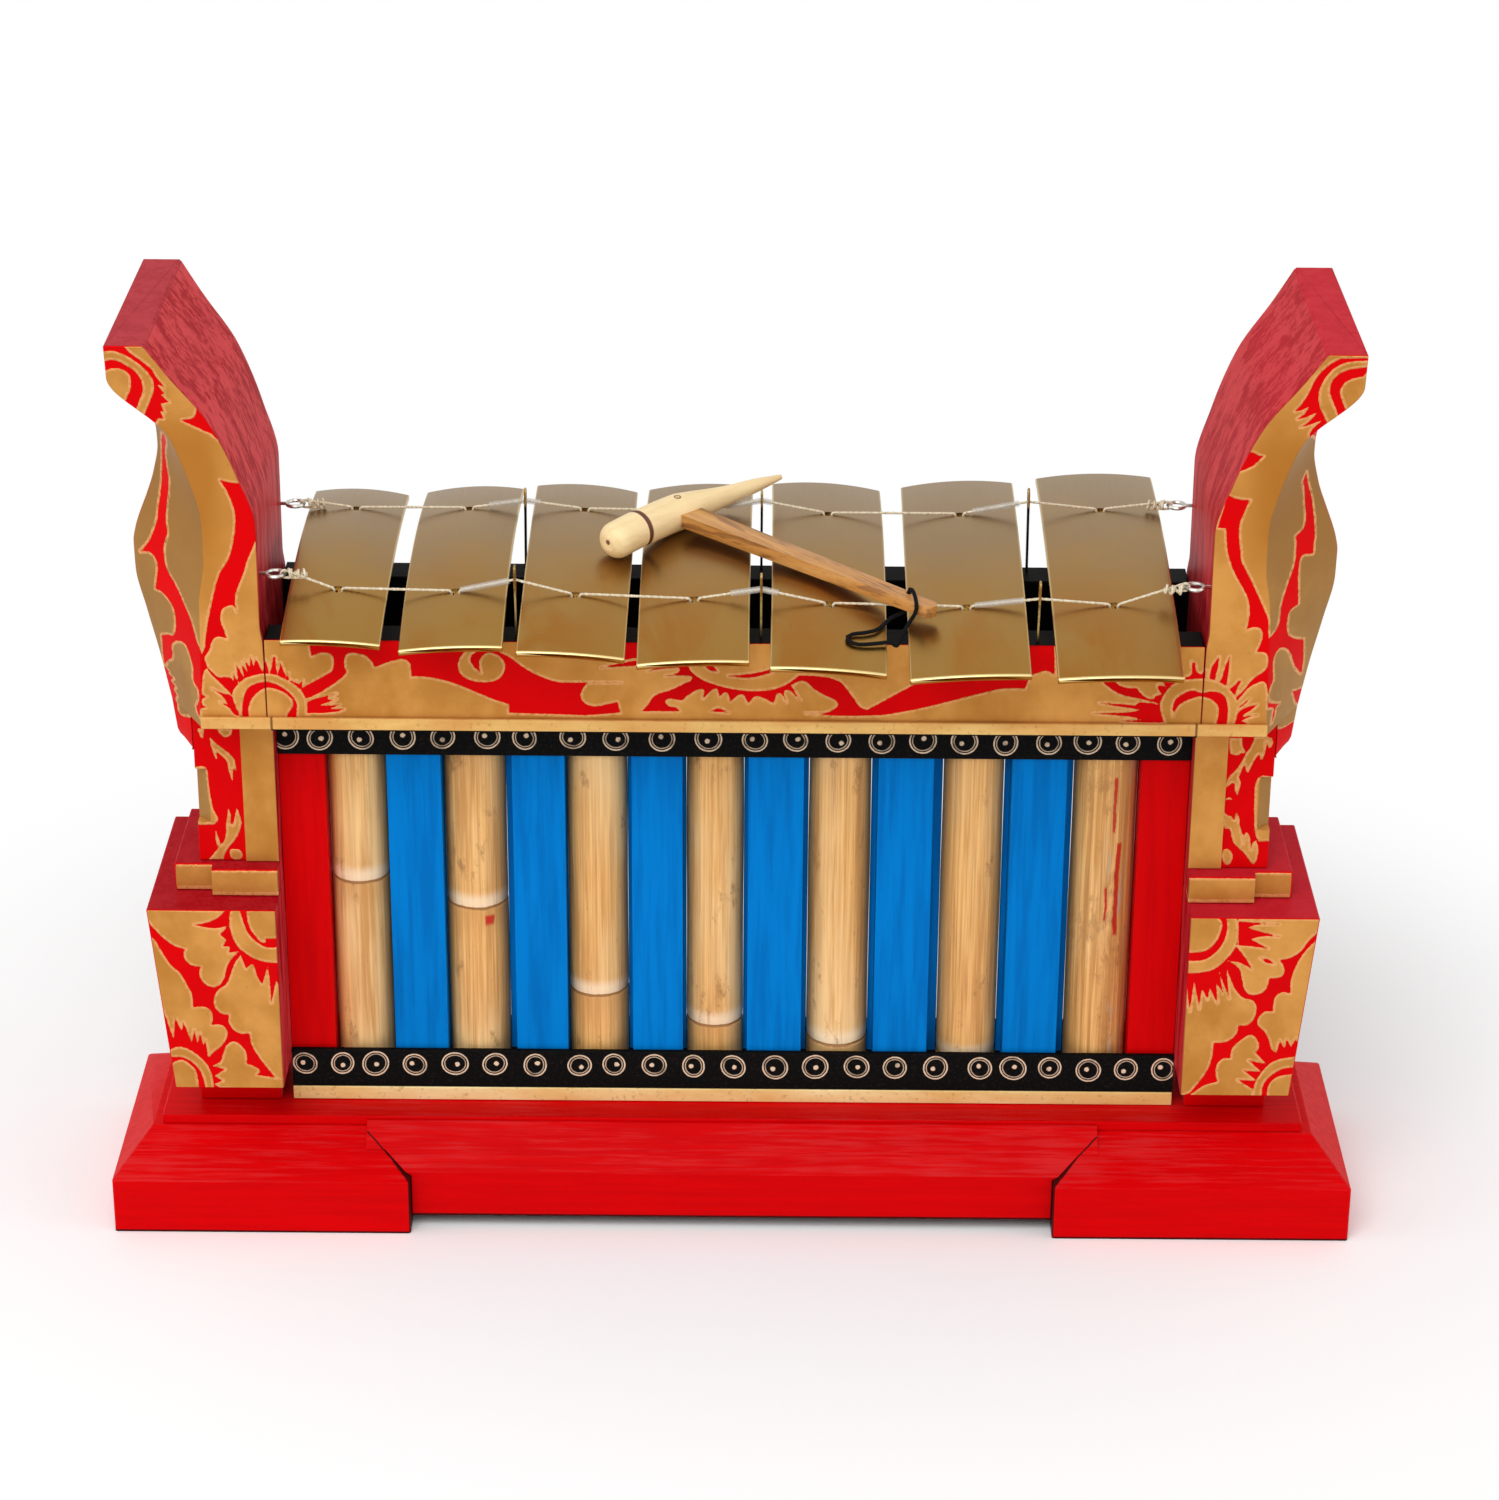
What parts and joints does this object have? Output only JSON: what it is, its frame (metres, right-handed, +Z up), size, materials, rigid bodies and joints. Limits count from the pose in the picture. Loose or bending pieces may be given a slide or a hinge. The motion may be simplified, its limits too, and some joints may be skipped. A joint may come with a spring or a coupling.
{
  "type": "metallophone",
  "caption": "Metallophone with arched bronze keys hung on strings over bamboo resonators in a red and gold case with horned end posts, and a hammer mallet lying on the keys.",
  "frame": {"origin": "on the ground, under the middle of the base", "axes": "+X along the row of keys towards the longest key, +Y from the front to the back, +Z up"},
  "size_m": [0.65, 0.2199, 0.4913],
  "materials": {
    "red_paint": "glossy red paint on wood",
    "red_gold_ornament": "glossy red paint with gold painted ornament",
    "gold_paint": "gold paint on wood",
    "blue_paint": "blue paint on wood",
    "black_paint": "black paint, the bands with painted rings",
    "bamboo": "varnished bamboo",
    "bronze": "satin, lightly marked by tuning",
    "steel_wire": "bright wire",
    "brass_wire": "dull wire, painted black at the foot",
    "string": "twisted natural string",
    "pale_wood": "oiled pale wood",
    "brown_bamboo": "stained bamboo",
    "black_cord": "black cotton cord"
  },
  "bodies": {
    "root": {"foot_block_left": "red_paint", "foot_block_right": "red_paint", "base_board": "red_paint", "base_plate": "red_paint", "lower_block_left": "red_gold_ornament", "step_block_left": "red_gold_ornament", "column_left": "red_gold_ornament", "horn_post_left": "red_gold_ornament", "lower_block_right": "red_gold_ornament", "step_block_right": "red_gold_ornament", "column_right": "red_gold_ornament", "horn_post_right": "red_gold_ornament", "front_rail": "red_gold_ornament", "front_molding": "gold_paint", "back_rail": "red_gold_ornament", "back_molding": "gold_paint", "case_floor": "black_paint", "front_base_strip": "gold_paint", "front_lower_band": "black_paint", "front_upper_band": "black_paint", "back_base_strip": "gold_paint", "back_lower_band": "black_paint", "back_upper_band": "black_paint", "slat_1": "red_paint", "slat_2": "blue_paint", "slat_3": "blue_paint", "slat_4": "blue_paint", "slat_5": "blue_paint", "slat_6": "blue_paint", "slat_7": "blue_paint", "slat_8": "red_paint", "resonator_tube_1": "bamboo", "resonator_tube_2": "bamboo", "resonator_tube_3": "bamboo", "resonator_tube_4": "bamboo", "resonator_tube_5": "bamboo", "resonator_tube_6": "bamboo", "resonator_tube_7": "bamboo", "front_screw_eye_left": "steel_wire", "front_screw_eye_right": "steel_wire", "back_screw_eye_left": "steel_wire", "back_screw_eye_right": "steel_wire", "front_string_post_1": "brass_wire", "front_string_post_2": "brass_wire", "front_string_post_3": "brass_wire", "back_string_post_1": "brass_wire", "back_string_post_2": "brass_wire", "back_string_post_3": "brass_wire", "front_string": "string", "back_string": "string"},
    "key_1": {"key_1": "bronze"},
    "key_2": {"key_2": "bronze"},
    "key_3": {"key_3": "bronze"},
    "key_4": {"key_4": "bronze"},
    "key_5": {"key_5": "bronze"},
    "key_6": {"key_6": "bronze"},
    "key_7": {"key_7": "bronze"},
    "mallet": {"mallet_head": "pale_wood", "mallet_handle": "brown_bamboo", "wrist_cord": "black_cord"}
  },
  "joints": [
    {"name": "key_1_give", "type": "slide", "parent": "root", "child": "key_1", "axis": [0, 0, 1], "range_m": [-0.004, 0], "stiffness_N_per_m": 1500, "springref_m": 0.003, "deforming": ["front_string", "back_string"]},
    {"name": "key_2_give", "type": "slide", "parent": "root", "child": "key_2", "axis": [0, 0, 1], "range_m": [-0.004, 0], "stiffness_N_per_m": 1500, "springref_m": 0.003},
    {"name": "key_3_give", "type": "slide", "parent": "root", "child": "key_3", "axis": [0, 0, 1], "range_m": [-0.004, 0], "stiffness_N_per_m": 1500, "springref_m": 0.003},
    {"name": "key_4_give", "type": "slide", "parent": "root", "child": "key_4", "axis": [0, 0, 1], "range_m": [-0.004, 0], "stiffness_N_per_m": 1500, "springref_m": 0.003},
    {"name": "key_5_give", "type": "slide", "parent": "root", "child": "key_5", "axis": [0, 0, 1], "range_m": [-0.004, 0], "stiffness_N_per_m": 1500, "springref_m": 0.003},
    {"name": "key_6_give", "type": "slide", "parent": "root", "child": "key_6", "axis": [0, 0, 1], "range_m": [-0.004, 0], "stiffness_N_per_m": 1500, "springref_m": 0.003},
    {"name": "key_7_give", "type": "slide", "parent": "root", "child": "key_7", "axis": [0, 0, 1], "range_m": [-0.004, 0], "stiffness_N_per_m": 1500, "springref_m": 0.003},
    {"name": "mallet_lift", "type": "slide", "parent": "root", "child": "mallet", "axis": [0, 0, 1], "range_m": [0, 0.12]}
  ]
}
